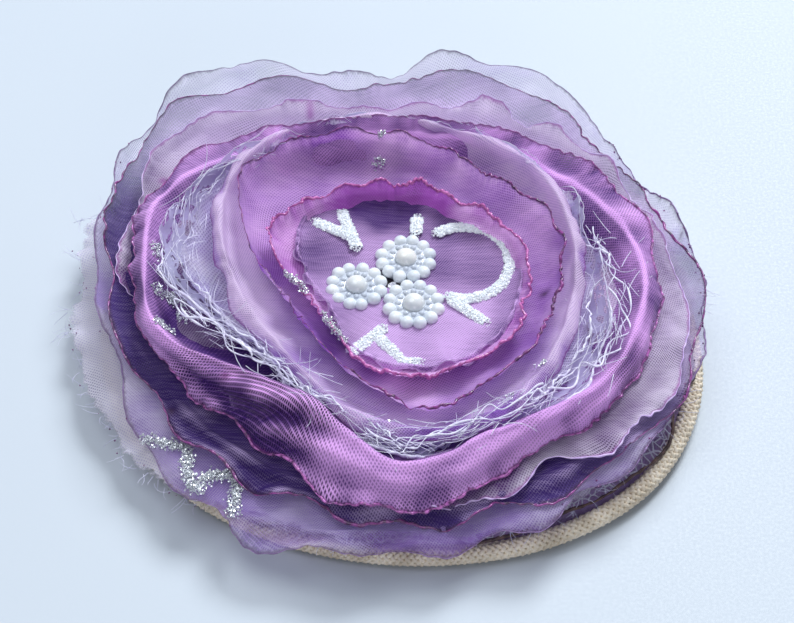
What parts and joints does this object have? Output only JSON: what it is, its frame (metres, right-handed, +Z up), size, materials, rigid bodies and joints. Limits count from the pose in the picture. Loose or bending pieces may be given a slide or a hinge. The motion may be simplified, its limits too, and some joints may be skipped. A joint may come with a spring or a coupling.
{
  "type": "flower hair clip",
  "caption": "Layered organza flower with a braided edge and pearl flowers in its centre, on a felt back with a toothed spring clip.",
  "frame": {"origin": "on the flower's middle axis, at the surface it lies on, clip side down", "axes": "+Z up out of the flower's face, X along the clip with the lever end at -X, -Y towards the viewer"},
  "size_m": [0.104, 0.104, 0.0182],
  "materials": {
    "clip_steel": "plated, satin",
    "spring_steel": "bright wire",
    "felt": "fuzzy wool-blend felt",
    "buckram": "stiffened open weave",
    "net": "white net",
    "braid": "knitted taupe braid",
    "tulle": "frayed pale lilac tulle",
    "organza_pale": "pale lilac organza",
    "organza_lilac": "lilac organza with shot weave",
    "organza_mauve": "mauve organza with shot weave",
    "organza_deep": "deep purple organza",
    "organza_pink": "lilac organza with pink singed edge",
    "lace": "torn white lace",
    "glitter": "white glitter in clear glue",
    "pearl_white": "pearl lustre",
    "pearl_seat": "white moulded",
    "thread": "white polyester thread"
  },
  "bodies": {
    "flower": {"clip_top_arm": "clip_steel", "hinge_pin": "clip_steel", "torsion_spring": "spring_steel", "felt_patch": "felt", "felt_backing": "felt", "base_disc": "buckram", "net_underlay": "net", "braid_trim": "braid", "tulle_frill": "tulle", "outer_petal_low": "organza_pale", "outer_petal_mid": "organza_deep", "outer_petal_high": "organza_lilac", "fold_petal": "organza_mauve", "lace_lower": "lace", "lace_upper": "lace", "middle_petal": "organza_lilac", "inner_petal_outer": "organza_mauve", "inner_petal_inner": "organza_pink", "centre_petal": "organza_mauve", "sewing_thread": "thread", "glitter_scroll": "glitter", "pearl_base_left": "pearl_seat", "seed_pearls_left": "pearl_white", "centre_pearl_left": "pearl_white", "pearl_base_top": "pearl_seat", "seed_pearls_top": "pearl_white", "centre_pearl_top": "pearl_white", "pearl_base_front": "pearl_seat", "seed_pearls_front": "pearl_white", "centre_pearl_front": "pearl_white"},
    "jaw": {"clip_jaw": "clip_steel"}
  },
  "joints": [
    {"name": "jaw_hinge", "type": "hinge", "parent": "flower", "child": "jaw", "pos_m": [-0.0105, 0, 0.00515], "axis": [0, 1, 0], "range_deg": [0, 22], "stiffness_Nm_per_rad": 0.12, "springref_deg": -51.57, "deforming": ["torsion_spring"]}
  ]
}
